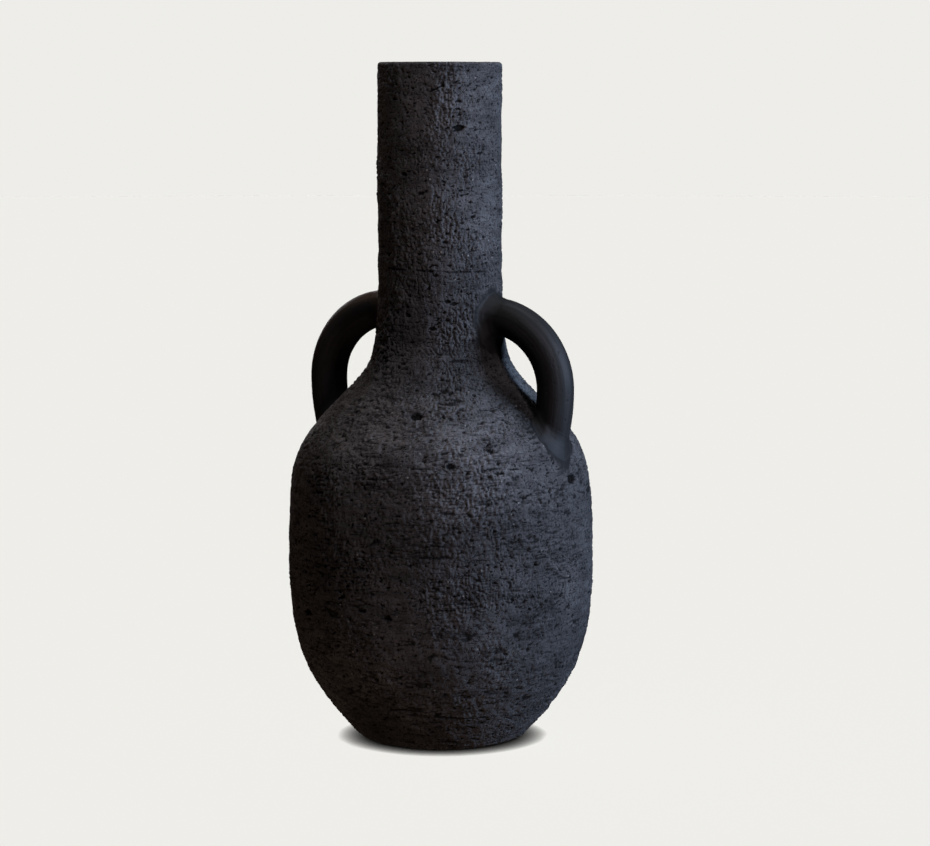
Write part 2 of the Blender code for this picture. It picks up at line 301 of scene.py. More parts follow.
def dragged_furrows(level, patch, heights):
    """Tears, drags and cracks left by stones under the scraper, in mm; shallower up the neck."""
    broken = ease(0.0, 0.35, grain(level, (5.0, 5.0, 2.6), 23))
    tears = ease(0.14, 0.03, np.abs(grain(level, (9.5, 9.5, 2.1), 22))) * broken
    sparse = ease(0.05, 0.30, grain(level, (11.0, 11.0, 5.0), 26))
    cracks = ease(0.10, 0.02, np.abs(grain(level, (22.0, 22.0, 4.6), 25))) * sparse
    drags = ease(0.24, 0.46, grain(level, (8.5, 8.5, 0.95), 24))
    furrows = np.maximum(np.maximum(0.34 * tears, 0.28 * drags) * (0.35 + 0.65 * patch), 0.42 * cracks)
    return furrows * (1.0 - 0.60 * ease(0.205, 0.245, heights))


def open_pores(level):
    """Small pores all over, and fewer larger ones, in mm."""
    pores = 0.36 * ease(0.46, 0.64, grain(level, (1.9, 1.9, 1.3), 31))
    return np.maximum(pores, 0.75 * ease(0.50, 0.62, grain(level, (3.6, 3.6, 1.8), 32)))


def chamotte_skin(points, distance, wiped):
    """The coarse skin of the scraped wall: its height over the smooth wall, and how hollow it is.

    wiped is 1 where wet fingers closed the skin, as round the handles' roots.
    """
    angles = np.arctan2(points[:, 1], points[:, 0])
    radii = np.hypot(points[:, 0], points[:, 1])
    level = np.stack([points[:, 0], points[:, 1], distance + 1.6 * MM * grain(points, 24.0, 11)], 1)
    patch = ease(-0.35, 0.35, grain(points, 26.0, 12))

    swell = 0.28 * grain(points, 40.0, 13) + 0.26 * grain(points, 15.0, 14)
    swell = swell + 0.46 * grain(level, (5.0, 5.0, 8.0), 19)
    scraped = scraped_lumps(points, level, patch)

    cut = np.maximum(dragged_furrows(level, patch, points[:, 2]), open_pores(level)) * (1.0 - 0.9 * wiped)
    cut = np.maximum(cut, torn_pits(points, angles, radii) / MM)
    cut = np.maximum(cut, open_lines(points, angles) / MM * (1.0 - 0.8 * wiped))
    height = swell * (1.0 - 0.5 * wiped) + scraped * (1.0 - 0.85 * wiped) - cut
    # The hollow share darkens the colour in the finish: soot, and painted shade in cuts and in the creases
    # between lumps.
    in_cuts = 0.82 * ease(0.06, 0.36, cut) + 0.18 * ease(0.5, 0.9, cut)
    in_creases = 0.36 * ease(-0.24, -0.54, scraped) * (1.0 - wiped)
    return height * MM, np.clip(in_cuts + in_creases, 0.0, 1.0)


def round_roll(radius, around, along):
    """Places for noise that joins up round a roll of clay."""
    return np.stack([radius * np.cos(around), radius * np.sin(around), along], 1)


def wiped_skin(distance, around):
    """The smooth skin of a handle: flats left by the palm, and fine lines drawn along the roll."""
    ring = round_roll(9.0 * MM, around, distance)
    flats = 0.20 * grain(ring, (7.0, 7.0, 60.0), 41) + 0.12 * grain(ring, (4.0, 4.0, 30.0), 42)
    strokes = 0.050 * grain(ring, (1.3, 1.3, 26.0), 43) + 0.034 * grain(ring, (0.8, 0.8, 14.0), 44)
    nicks = ease(0.50, 0.62, grain(ring, (1.4, 1.4, 2.0), 45)) * 0.10
    drawn = ease(-0.30, 0.35, grain(ring, (2.4, 2.4, 50.0), 46) + 0.35 * grain(ring, (1.1, 1.1, 22.0), 47))
    # The second value darkens the colour in the finish: painted shade in the nicks, and darker streaks drawn
    # along the roll.
    return (flats + strokes - nicks) * MM, np.maximum(0.5 * ease(0.02, 0.10, nicks), 0.50 * drawn)


# -------------------------------- handles and their roots

STUB = CROOK_X - HANDLE_START_X
CROOK_LENGTH = CROOK_R * math.pi / 2
LEG_LENGTH = LEG_R * LEG_TURN
HANDLE_LENGTH = STUB + CROOK_LENGTH + LEG_LENGTH + LEG_END


def handle_frame(distance):
    """Centre, direction away from the crook, and direction onward, along the right handle."""
    distance = np.asarray(distance, float)
    turned = distance - STUB
    on_crook = turned < CROOK_LENGTH
    angle = np.where(on_crook, math.pi / 2 - np.maximum(turned, 0.0) / CROOK_R,
                     -np.clip((turned - CROOK_LENGTH) / LEG_R, 0.0, LEG_TURN))
    radius = np.where(on_crook, CROOK_R, LEG_R)
    middle = np.stack([np.where(on_crook, CROOK_X, CROOK_X + CROOK_R - LEG_R), np.zeros_like(angle),
                       np.full_like(angle, HANDLE_TOP_Z - CROOK_R)], -1)
    away = np.stack([np.cos(angle), np.zeros_like(angle), np.sin(angle)], -1)
    onward = np.stack([np.sin(angle), np.zeros_like(angle), -np.cos(angle)], -1)
    straight = np.minimum(turned, 0.0) + np.maximum(turned - CROOK_LENGTH - LEG_LENGTH, 0.0)
    return middle + radius[..., None] * away + straight[..., None] * onward, away, onward


def handle_radius(distance):
    """The roll thins a little from the neck to the shoulder."""
    return HANDLE_NECK_R + (HANDLE_SHOULDER_R - HANDLE_NECK_R) * distance / HANDLE_LENGTH


def roll_point(distance, around, thickness=0.0):
    """A point on the roll's surface, and the spoke that points out through it."""
    centre, away, _ = handle_frame(distance)
    spoke = np.cos(around)[:, None] * away + np.sin(around)[:, None] * np.array([0.0, 1.0, 0.0])
    return centre + (handle_radius(distance) + thickness)[:, None] * spoke, spoke


def wall_normal(points, lift):
    """Direction out of the wall near points."""
    heights = points[:, 2] + lift
    step = 0.5 * MM
    slope = (outer_radius(heights + step) - outer_radius(heights - step)) / (2 * step)
    level = unit(np.column_stack([points[:, :2], np.zeros(len(points))]))
    return unit(level - np.outer(slope, (0.0, 0.0, 1.0)))


def above_wall(points, lift):
    """How far points stand off the wall; negative inside it."""
    level = np.hypot(points[:, 0], points[:, 1]) - outer_radius(points[:, 2] + lift)
    return level * np.hypot(*wall_normal(points, lift)[:, :2].T)


def on_wall(points, lift):
    """The nearest points on the wall."""
    for _ in range(8):
        points = points - wall_normal(points, lift) * above_wall(points, lift)[:, None]
    return points


def meeting(around, inside, outside, lift):
    """Distance along the roll where its side meets the wall, for each angle round it."""
    inside, outside = np.full(len(around), inside), np.full(len(around), outside)
    for _ in range(40):
        middle = 0.5 * (inside + outside)
        clear = above_wall(roll_point(middle, around)[0], lift) > 0.0
        outside = np.where(clear, middle, outside)
        inside = np.where(clear, inside, middle)
    return outside


# At each end of a handle: two distances along the roll, inside and outside the wall, then how far the
# luting clay spreads out, up the roll and down the wall in mm, which way it sags, and how far it is wiped
ROOTS = {
    "neck": {
        "inside": 0.0, "outside": 0.5 * CROOK_LENGTH, "out": 6.5, "up": 8.0, "down": 4.5,
        "lean": math.radians(10.0), "wipe": 3.0, "seed": 51,
    },
    "shoulder": {
        "inside": HANDLE_LENGTH, "outside": HANDLE_LENGTH - 45.0 * MM, "out": 4.2, "up": 9.0, "down": 5.0,
        "lean": math.radians(42.0), "wipe": 2.4, "seed": 52,
    },
}
ROOT_REACH = 60 * MM
SUNK = 0.30 * MM


def root_curves(which, side, around):
    """A fillet's corner, foot and top for each angle round the roll, in the right handle's place."""
    root, (facing, lift) = ROOTS[which], SIDES[side]
    meet = meeting(around, root["inside"], root["outside"], lift)
    corner, spoke = roll_point(meet, around)
    normal = wall_normal(corner, lift)
    outward = unit(spoke - normal * (spoke * normal).sum(1)[:, None])
    ring = round_roll(10 * MM, around, np.full(len(around), facing * 20 * MM))
    ragged = 1.0 + 0.22 * grain(ring, 9.0, root["seed"]) + 0.10 * grain(ring, 3.0, root["seed"] + 10)
    fall = -outward @ np.array([0.0, math.sin(root["lean"]), math.cos(root["lean"])])
    sag = np.clip(fall * 1.2, 0.0, 1.0) ** 4
    uphill = ease(0.0, 0.8, outward[:, 2])
    out = (root["out"] * (1.0 - 0.45 * uphill) + root["down"] * sag) * MM * ragged
    foot = on_wall(corner + out[:, None] * outward, lift)
    up = math.copysign(1.0, root["outside"] - root["inside"]) * root["up"] * MM * ragged
    top, _ = roll_point(meet + up, around)
    return {"meet": meet, "up": up, "corner": corner, "spoke": spoke, "foot": foot, "top": top}


def to_place(points, side):
    """Turn and lift right-handle points to the handle's own side."""
    facing, lift = SIDES[side]
    return points * np.array([facing, facing, 1.0]) + np.array([0.0, 0.0, lift])


def from_place(points, side):
    """The same points brought to the right handle's place."""
    facing, lift = SIDES[side]
    return (points - np.array([0.0, 0.0, lift])) * np.array([facing, facing, 1.0])


def ring_of_angles(columns):
    """Evenly spaced angles, one for each column of a mesh."""
    return np.linspace(-math.pi, math.pi, columns, endpoint=False)


def root_edge(which, side):
    """The frame at a handle's root, and the fillet's reach on the wall for each angle in that frame."""
    curves = root_curves(which, side, np.linspace(-math.pi, math.pi, 361)[:-1])
    centre, away, _ = handle_frame(np.mean(curves["meet"]))
    reach = curves["foot"] - centre
    turn = np.arctan2(reach[:, 1], reach @ away)
    order = np.argsort(turn)
    return centre, away, turn[order], np.hypot(reach[:, 1], reach @ away)[order]


ROOT_EDGES = {(which, side): root_edge(which, side) for which in ROOTS for side in SIDES}


def near_roots(points):
    """For wall points: how much wet fingers wiped them, and how far they lie under a fillet."""
    wiped, covered = np.zeros(len(points)), np.zeros(len(points))
    for (which, side), (centre, away, turn, edge) in ROOT_EDGES.items():
        reach = from_place(points, side) - centre
        near = np.linalg.norm(reach, axis=1) < ROOT_REACH
        across = np.hypot(reach[near, 1], reach[near] @ away)
        rim = np.interp(np.arctan2(reach[near, 1], reach[near] @ away), turn, edge, period=TURN)
        ragged = (2.4 * grain(points[near], 7.0, 55) + 1.0 * grain(points[near], 2.2, 56)) * MM
        past = across - rim + ragged
        wiped[near] = np.maximum(wiped[near], ease(ROOTS[which]["wipe"] * MM, 0.0, past))
        covered[near] = np.maximum(covered[near], ease(1.0 * MM, 3.2 * MM, rim - across))
    return wiped, covered


# -------------------------------- meshes from rows of points

MAP_EDGE, MAP_SPAN = 0.005, 0.99
OUTER_SHARE = 0.93


def map_quads(i, j, count, columns, bands, outer_rows):
    """Places on the map for each quad's corners: the outer rows in strips, and the hidden rows past them."""
    share = OUTER_SHARE if outer_rows < count else 1.0
    strip = columns // bands
    band = np.minimum(j // strip, bands - 1)
    width = np.where(band == bands - 1, columns - strip * (bands - 1), strip)
    outer = i < outer_rows - 1

    def spot(row, column):
        """Place on the map of a corner at a row and column of the mesh."""
        u = np.where(outer, (column - band * strip) / width, column / columns)
        inside = share * (band + 0.02 + 0.96 * np.minimum(row / max(outer_rows - 1, 1), 1.0)) / bands
        rest = share + MAP_EDGE + (MAP_SPAN - share) * (row - outer_rows + 1) / max(count - outer_rows + 1, 1)
        return np.stack([MAP_EDGE + MAP_SPAN * u, np.where(outer, inside, rest)], -1)

    corners = [spot(i, j), spot(i, j + 1), spot(i + 1, j + 1), spot(i + 1, j)]
    return np.stack(corners, 2).reshape(-1, 2)


def fan_over(ring, middle, flipped):
    """Faces from an end row's corners to a middle point, and their places on the map."""
    columns = len(ring)
    step = np.arange(columns)
    following = np.roll(ring, -1)
    fan = np.stack([following, ring] if flipped else [ring, following], 1)
    v = 0.995 if flipped else 0.985
    after = np.column_stack([(step + 1) / columns, np.full(columns, v)])
    before = np.column_stack([step / columns, np.full(columns, v)])
    tip = np.column_stack([(step + 0.5) / columns, np.full(columns, v + 0.005)])
    chart = np.stack([after, before, tip] if flipped else [before, after, tip], 1)
    return np.column_stack([fan, np.full(columns, middle)]).tolist(), chart.reshape(-1, 2)


def woven_mesh(name, rows, hollow, wiped, closed, bands, outer_rows):
    """A closed skin from rows of points, with a flat map for each of its bands.

    closed joins the last row to the first; otherwise the first and last rows close on a middle point.
    bands is how many strips the outer rows are cut into on the map, and outer_rows how many rows those are.
    """
    count, columns = len(rows), len(rows[0])
    points = np.concatenate(rows)
    marks = [np.concatenate(hollow), np.concatenate(wiped)]
    i, j = np.meshgrid(np.arange(count if closed else count - 1), np.arange(columns), indexing="ij")
    k, m = (i + 1) % count, (j + 1) % columns
    quads = np.stack([i * columns + j, i * columns + m, k * columns + m, k * columns + j], -1)
    faces = quads.reshape(-1, 4).tolist()
    chart = map_quads(i, j, count, columns, bands, outer_rows)
    if not closed:
        for row, flipped in ((0, True), (count - 1, False)):
            ring = row * columns + np.arange(columns)
            fan, places = fan_over(ring, len(points), flipped)
            points = np.vstack([points, rows[row].mean(0)])
            marks = [np.append(mark, mark[ring].mean()) for mark in marks]
            faces += fan
            chart = np.vstack([chart, places])
    points = points + lean_of(points[:, 2])
    mesh = bpy.data.meshes.new(name)
    mesh.from_pydata(points.tolist(), [], faces)
    layer = mesh.uv_layers.new(name="OFBake")
    layer.data.foreach_set("uv", chart.astype(np.float32).ravel())
    for label, mark in zip(("hollow", "wiped"), marks):
        mesh.attributes.new(label, "FLOAT", "POINT").data.foreach_set("value", mark.astype(np.float32))
    mesh.shade_smooth()
    return mesh


# collections that the lights are limited to
JAR = bpy.data.collections.new("jar_pieces")
STAGE = bpy.data.collections.new("floor_only")


def show(name, mesh, finish):
    """Put a finished piece in the scene in place of its plain solid."""
    mesh.materials.append(finish)
    piece = bpy.data.objects.new(name + "_clay", mesh)
    bpy.context.scene.collection.objects.link(piece)
    JAR.objects.link(piece)
    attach(piece, "root")
    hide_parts(name)


# -------------------------------- wall pieces

FINEST_CELL = 0.42 * MM
CELLS_PER_PIECE = 73000
INNER_STEP = 8.0 * MM
EDGE_STEPS = np.array([0.0, 0.05, 0.25, 0.50]) * MM
LOWEST_SKIN = 0.02 * MM
RIDGE_HEIGHT, RIDGE_PITCH = 0.30 * MM, 1.6 * MM

# How a hand-laid seam strays from its mean height: its tilt in mm, and the angle where it is highest
SEAM_TILTS = {
    "foot": (2.6, -110.0),
    "low_belly": (0.8, 20.0),
    "mid_belly": (0.6, 150.0),
    "high_belly": (0.8, 60.0),
    "throat": (0.8, -20.0),
    "neck": (1.0, -120.0),
    "rim": (0.9, 80.0),
}


def seam_wander(name, angles):
    """How far a seam strays from its mean height, for each angle round the jar."""
    tilt, phase = SEAM_TILTS[name]
    return (tilt * np.cos(angles - math.radians(phase)) + 0.25 * np.cos(3 * angles + tilt * 7.0)) * MM


def girth(first, last):
    """The longest way round the wall between two distances along the outline."""
    return TURN * float(np.max(on_outline(np.linspace(first, last, 50))[0]))


def cell_for(first, last):
    """The finest cell that keeps a piece's mesh a handy size."""
    return max(FINEST_CELL, math.sqrt(girth(first, last) * (last - first) / CELLS_PER_PIECE))


def steps_between(length, cell):
    """Shares from 0 to 1 along a stretch, crowded at both ends where its seams are."""
    inner = np.linspace(EDGE_STEPS[-1], length - EDGE_STEPS[-1], max(int(round(length / cell)), 2))
    return np.concatenate([EDGE_STEPS[:-1], inner, length - EDGE_STEPS[-2::-1]]) / length


def skin_rows(low, high, shares, angles):
    """Rows of the outside, shaped by the clay's skin, between two distances given for each angle."""
    ahead = low[None, :] + (high - low)[None, :] * shares[:, None]
    r, z = on_outline(ahead)
    turn = np.broadcast_to(angles, ahead.shape)
    points = np.stack([r * np.cos(turn), r * np.sin(turn), z], -1).reshape(-1, 3)
    wiped, covered = near_roots(points)
    height, hollow = chamotte_skin(points, ahead.ravel(), wiped)
    height = height - SUNK * covered
    tr, tz = tangent_at(ahead.ravel())
    normal = np.stack([tz * np.cos(turn.ravel()), tz * np.sin(turn.ravel()), -tr], 1)
    rows = (points + height[:, None] * normal).reshape(*ahead.shape, 3)
    return list(rows), list(hollow.reshape(ahead.shape)), list(wiped.reshape(ahead.shape))


def turned_row(distance, depth, angles, roughness=0.0):
    """One row inside the clay, at a distance along the outline and a depth under it."""
    r, z = on_outline(distance, depth)
    r, z = np.broadcast_to(r, angles.shape), np.broadcast_to(z, angles.shape)
    row = np.stack([r * np.cos(angles), r * np.sin(angles), z], 1)
    if roughness:
        bump = roughness * (grain(row, 5.0, 81) + 0.5 * grain(row, 1.8, 82)) * MM
        row[:, :2] *= (1.0 - bump / np.maximum(r, 5 * MM))[:, None]
    return row


def bevel_rows(seam, shares, angles):
    """Hidden rows on a scarf seam, at shares of its way from the outside in."""
    return [turned_row(seam + SEAM_CLIMB * share, WALL * share, angles) for share in shares]


def inner_rows(high, low, angles):
    """Rows down the inside, with the soft ridges that fingers leave."""
    count = max(int(round(float(np.mean(high - low)) / INNER_STEP)) * 2, 3)
    rows = []
    for share in np.linspace(0.0, 1.0, count):
        distance = high + (low - high) * share
        ridge = RIDGE_HEIGHT * np.sin(distance / RIDGE_PITCH + 1.5 * np.sin(angles))
        at_seam = share in (0.0, 1.0)
        rows.append(turned_row(distance, WALL if at_seam else WALL + ridge, angles, 0.12))
    return rows


def wall_angles(first, last, cell):
    """Angles for the columns of a wall piece, with square cells at its widest."""
    return ring_of_angles(int(round(girth(first, last) / cell)))


def show_wall(name, outer, hidden, hollow, wiped, closed, finish):
    """Weave a wall piece from its outer and hidden rows, its map about square, and show it."""
    plain = [np.zeros(len(outer[0]))] * len(hidden)
    bands = max(1, int(round(math.sqrt(0.8 * len(outer[0]) / len(outer)))))
    mesh = woven_mesh(name, outer + hidden, hollow + plain, wiped + plain, closed, bands, len(outer))
    show(name, mesh, finish)


def make_wall_ring(name, low_seam, high_seam, finish):
    """One laid ring of the wall: rough outside, bevelled seams, and finger-ridged inside."""
    ends = [distance_at(SEAMS[seam]) for seam in (low_seam, high_seam)]
    cell = cell_for(*ends)
    angles = wall_angles(*ends, cell)
    low = ends[0] + seam_wander(low_seam, angles) + SEAM_TOUCH
    high = ends[1] + seam_wander(high_seam, angles) - SEAM_TOUCH
    rows, hollow, wiped = skin_rows(low, high, steps_between(ends[1] - ends[0], cell), angles)
    climb = bevel_rows(high, (0.12, 0.55), angles)
    inside = inner_rows(high + SEAM_CLIMB, low + SEAM_CLIMB, angles)
    fall = bevel_rows(low, (0.55, 0.12), angles)
    show_wall(name, rows, climb + inside + fall, hollow, wiped, True, finish)


def make_base_dish(finish):
    """The pressed dish: flat foot, rough band of wall, bevelled seam, and floor."""
    end = distance_at(SEAMS["foot"])
    cell = cell_for(0.0, end)
    angles = wall_angles(0.0, end, cell)
    high = end + seam_wander("foot", angles) - SEAM_TOUCH
    rows, hollow, wiped = skin_rows(np.zeros(len(angles)), high, steps_between(end, cell)[1:], angles)
    for row in rows:
        row[:, 2] = np.maximum(row[:, 2], LOWEST_SKIN)
    foot = [turned_row(0.0, 0.0, angles) * np.array([share, share, 0.0]) for share in (0.35, 0.75, 0.97)]
    climb = bevel_rows(high, (0.12, 0.55), angles)
    inside_low = np.interp(FLOOR, on_outline(ALONG[:400], WALL)[1], ALONG[:400])
    inside = inner_rows(high + SEAM_CLIMB, np.full(len(angles), inside_low + 0.6 * MM), angles)
    floor_edge = turned_row(inside_low, WALL, angles)
    floor = [floor_edge * np.array([share, share, 1.0]) for share in (0.97, 0.85, 0.6, 0.3)]
    for row in floor:
        row[:, 2] = FLOOR + 0.25 * MM * grain(row, 6.0, 91)
    plain = [np.zeros(len(angles))] * len(foot)
    show_wall("base_dish", foot + rows, climb + inside + floor, plain + hollow, plain + wiped, False, finish)


def lip_rows(last_row):
    """Rows over the mouth's lip, from the skin's last row to the inside, a little worn on top."""
    top = HEIGHT - LIP_R
    edge = arc((NECK_R - LIP_R, top), LIP_R, 0.0, math.pi / 2, 9)[1:]
    flat = np.linspace((NECK_R - LIP_R, HEIGHT), (NECK_R - WALL + LIP_R, HEIGHT), 6)[1:-1]
    inner_edge = arc((NECK_R - WALL + LIP_R, top), LIP_R, math.pi / 2, math.pi, 7)
    reach = np.hypot(last_row[:, 0], last_row[:, 1])
    spokes = last_row[:, :2] / reach[:, None]
    rows = []
    for step, (r, z) in enumerate(np.vstack([edge, flat, inner_edge])):
        settling = max(0.0, 1.0 - step / len(edge))
        radius = r + (reach - NECK_R) * settling
        row = np.column_stack([spokes * radius[:, None], np.full(len(reach), z)])
        chips = 0.30 * ease(0.3, 0.5, grain(row, 1.7, 97))
        worn = 0.16 * grain(row, 7.0, 95) + 0.09 * grain(row, 1.9, 96) - chips
        row[:, 2] += np.minimum(worn, 0.05) * MM * ease(0.0, 2.0, float(step))
        rows.append(row)
    return rows


def make_rim_ring(finish):
    """The last ring, with a flat rim softened at both edges."""
    start, end = distance_at(SEAMS["rim"]), ALONG[-1]
    cell = cell_for(start, end)
    angles = wall_angles(start, end, cell)
    low = start + seam_wander("rim", angles) + SEAM_TOUCH
    high = np.full(len(angles), end)
    rows, hollow, wiped = skin_rows(low, high, steps_between(end - start, cell), angles)
    inside = inner_rows(high, low + SEAM_CLIMB, angles)[1:]
    fall = bevel_rows(low, (0.55, 0.12), angles)
    show_wall("rim_ring", rows, lip_rows(rows[-1]) + inside + fall, hollow, wiped, True, finish)


# -------------------------------- handle and fillet pieces

HANDLE_COLUMNS, HANDLE_ROWS = 190, 250
HANDLE_INSET = 1.5 * MM
FILLET_COLUMNS, FILLET_ROWS = 200, 44
FILLET_TUCK = 0.6 * MM
GRAIN_SHIFT = {"right": 0.0, "left": 0.3}


def make_handle(side, finish):
    """One rolled handle, its ends cut to the wall and sunk under the fillets."""
    around = ring_of_angles(HANDLE_COLUMNS)
    neck, shoulder = (root_curves(which, side, around) for which in ("neck", "shoulder"))
    rows, hollow = [], []
    for share in np.linspace(0.0, 1.0, HANDLE_ROWS):
        distance = (neck["meet"] + HANDLE_INSET) * (1.0 - share) + (shoulder["meet"] - HANDLE_INSET) * share
        height, mark = wiped_skin(distance + GRAIN_SHIFT[side], around)
        past_neck = neck["meet"] + neck["up"] - distance
        past_shoulder = distance - shoulder["meet"] - shoulder["up"]
        sunk = np.maximum(ease(0.0, 2.0 * MM, past_neck), ease(0.0, 2.0 * MM, past_shoulder))
        rows.append(to_place(roll_point(distance, around, height - SUNK * sunk)[0], side))
        hollow.append(mark)
    wiped = [np.ones(HANDLE_COLUMNS)] * HANDLE_ROWS
    mesh = woven_mesh("handle_" + side, rows, hollow, wiped, False, 1, len(rows))
    show("handle_" + side, mesh, finish)


def make_fillet(which, side, finish):
    """Luting clay smeared from the wall up onto the roll, so that neither edge shows."""
    around = ring_of_angles(FILLET_COLUMNS)
    lift = SIDES[side][1]
    curve = root_curves(which, side, around)
    foot, corner, top, spoke = curve["foot"], curve["corner"], curve["top"], curve["spoke"]
    foot_pull, top_pull = foot + 0.5 * (corner - foot), top + 0.5 * (corner - top)
    rows, hollow, wiped = [], [], []
    for share in np.linspace(0.0, 1.0, FILLET_ROWS):
        row = curve_at(share, foot, foot_pull, top_pull, top)
        wall_spot = on_wall(row, lift)
        wall_place = to_place(wall_spot, side)
        own_wiped, _ = near_roots(wall_place)
        own_height, own_hollow = chamotte_skin(wall_place, distance_at(wall_place[:, 2]), own_wiped)
        roll_height, roll_hollow = wiped_skin(curve["meet"] + curve["up"] * share + GRAIN_SHIFT[side], around)
        ring = round_roll(9 * MM, around, np.full_like(around, 20 * MM * share))
        smear = 0.20 * MM * grain(ring, (8.0, 8.0, 5.0), 57) + 0.07 * MM * grain(ring, (5.0, 5.0, 1.2), 58)
        on_foot, on_top = 1.0 - ease(0.0, 0.35, share), ease(0.65, 1.0, share)
        between = 1.0 - on_foot - on_top
        way = unit(wall_normal(wall_spot, lift) * (1.0 - share) + spoke * share)
        height = on_foot * own_height + on_top * roll_height + between * smear
        rows.append(to_place(row + height[:, None] * way, side))
        hollow.append(on_foot * own_hollow + on_top * roll_hollow)
        wiped.append(on_foot * own_wiped + (1.0 - on_foot) * np.ones(FILLET_COLUMNS))
    outer_rows = len(rows)
    inner = [
        top - FILLET_TUCK * spoke,
        corner - FILLET_TUCK * spoke - FILLET_TUCK * wall_normal(corner, lift),
        foot - FILLET_TUCK * wall_normal(foot, lift),
    ]
    rows += [to_place(row, side) for row in inner]
    hollow += [np.zeros(FILLET_COLUMNS)] * len(inner)
    wiped += [np.ones(FILLET_COLUMNS)] * len(inner)
    name = f"{which}_fillet_{side}"
    mesh = woven_mesh(name, rows, hollow, wiped, True, 1, outer_rows)
    show(name, mesh, finish)


# -------------------------------- node sums

class Sum:
    """A shader value that Python's operators work on; each use adds a Math node."""

    def __init__(self, finish, socket):
        self.finish, self.socket = finish, socket

    def math(self, operation, *others):
        """This value and others through one Math node."""
        return self.finish.node("ShaderNodeMath", {"operation": operation}, dict(enumerate([self, *others])))

    def __add__(self, other):
        return self.math("ADD", other)

    def __sub__(self, other):
        return self.math("SUBTRACT", other)

    def __rsub__(self, other):
        return (self * -1.0) + other

    def __mul__(self, other):
        return self.math("MULTIPLY", other)

    __radd__, __rmul__ = __add__, __mul__


class Finish:
    """One material, and the method that adds its nodes."""

    def __init__(self, name):
        self.material = bpy.data.materials.new(name)
        self.material.use_nodes = True
        self.tree = self.material.node_tree
        self.shader = self.tree.nodes["Principled BSDF"]

    def node(self, kind, settings, inputs, output=0):
        """Add a node: its settings first, then a value or a link for each named or numbered socket."""
        made = self.tree.nodes.new(kind)
        for key, value in settings.items():
            if key == "stops":
                self.set_stops(made.color_ramp, value)
            else:
                setattr(made, key, value)
        self.fill(made, inputs)
        return Sum(self, made.outputs[output])

    def set_stops(self, ramp, stops):
        """Straight stops of (place, grey) on a ramp that has two to start with."""
        for _ in stops[2:]:
            ramp.elements.new(0.5)
        for element, (place, grey) in zip(ramp.elements, stops):
            element.position, element.color = place, (grey, grey, grey, 1.0)

    def fill(self, made, inputs):
        """Set or link a node's sockets."""
        for key, value in inputs.items():
            if isinstance(value, Sum):
                self.tree.links.new(value.socket, made.inputs[key])
            else:
                made.inputs[key].default_value = value

    def ramp(self, value, *stops):
        """A value passed through stops of (place, grey)."""
        return self.node("ShaderNodeValToRGB", {"stops": stops}, {"Fac": value}, "Color")

    def mixed(self, share, first, second, blend="MIX"):
        """One colour turning into another."""
        settings = {"data_type": "RGBA", "blend_type": blend}
        return self.node("ShaderNodeMix", settings, {"Factor": share, 6: first, 7: second}, 2)


# -------------------------------- the clay's finish

# Near-black for pits, cuts, cracks and creases: soot, and painted shade in the hollows
SOOT_AND_PAINTED_SHADE = (0.0040, 0.0037, 0.0037, 1.0)
BODY_DARK = (0.022, 0.021, 0.0215, 1.0)
BODY_PALE = (0.068, 0.066, 0.068, 1.0)
WIPED_DARK = (0.0095, 0.0087, 0.0087, 1.0)
WIPED_PALE = (0.029, 0.0270, 0.0274, 1.0)
LUTING_DARK = (0.0078, 0.0073, 0.0074, 1.0)
LUTING_PALE = (0.0220, 0.0208, 0.0215, 1.0)
GROG = (0.19, 0.185, 0.18, 1.0)
BODY_SHINE, WIPED_SHINE, LUTING_SHINE = 0.10, 0.34, 0.30
BUMP_DEPTH = 0.12 * MM

# Clouds of paler or darker clay: angle round the jar from the right handle, then distance from the
# axis, height and reach in mm, and how much paler the clay is, or darker where the number is negative.
# The six dark clouds beside and under the handles' rolls (at -10, -17, -11, 170, 163, 169) are painted
# shadow of the rolls, and the pale cloud at 18 is painted light on the wall seen through the right
# handle's arch; the others lighten or darken the clay in broad patches, the fronts of the neck and
# shoulder among them.
CLOUDS_AND_PAINTED_LIGHT = (
    (-52.0, 84.0, 168.0, 50.0, 0.55), (-96.0, 76.0, 182.0, 38.0, 0.60), (-48.0, 37.0, 312.0, 46.0, 0.46),
    (-48.0, 37.0, 372.0, 40.0, 0.46), (-36.0, 42.0, 222.0, 24.0, -0.40), (-98.0, 60.0, 10.0, 34.0, -0.45),
    (-96.0, 88.0, 60.0, 38.0, 0.30), (-10.0, 38.0, 236.0, 20.0, -0.70), (-17.0, 56.0, 209.0, 22.0, -0.72),
    (-11.0, 68.0, 192.0, 18.0, -0.65), (170.0, 38.0, 236.0, 20.0, -0.70), (163.0, 56.0, 209.0, 22.0, -0.72),
    (169.0, 68.0, 192.0, 18.0, -0.65), (18.0, 50.0, 216.0, 20.0, 0.60), (60.0, 80.0, 172.0, 50.0, 0.40),
    (130.0, 88.0, 90.0, 46.0, 0.40), (175.0, 76.0, 180.0, 44.0, 0.50), (110.0, 37.0, 340.0, 44.0, 0.30),
    (30.0, 86.0, 60.0, 40.0, -0.25), (-160.0, 37.0, 300.0, 40.0, -0.25),
)

# How pale the clay is made at each share of the jar's height, before its gain: palest on the shoulder,
# darkest at the foot
PALENESS = (
    (0.0, 0.66), (0.10, 0.82), (0.24, 0.80), (0.33, 0.74),
    (0.41, 0.84), (0.47, 0.94), (0.60, 0.80), (1.0, 0.80),
)
PALENESS_GAIN = 2.1


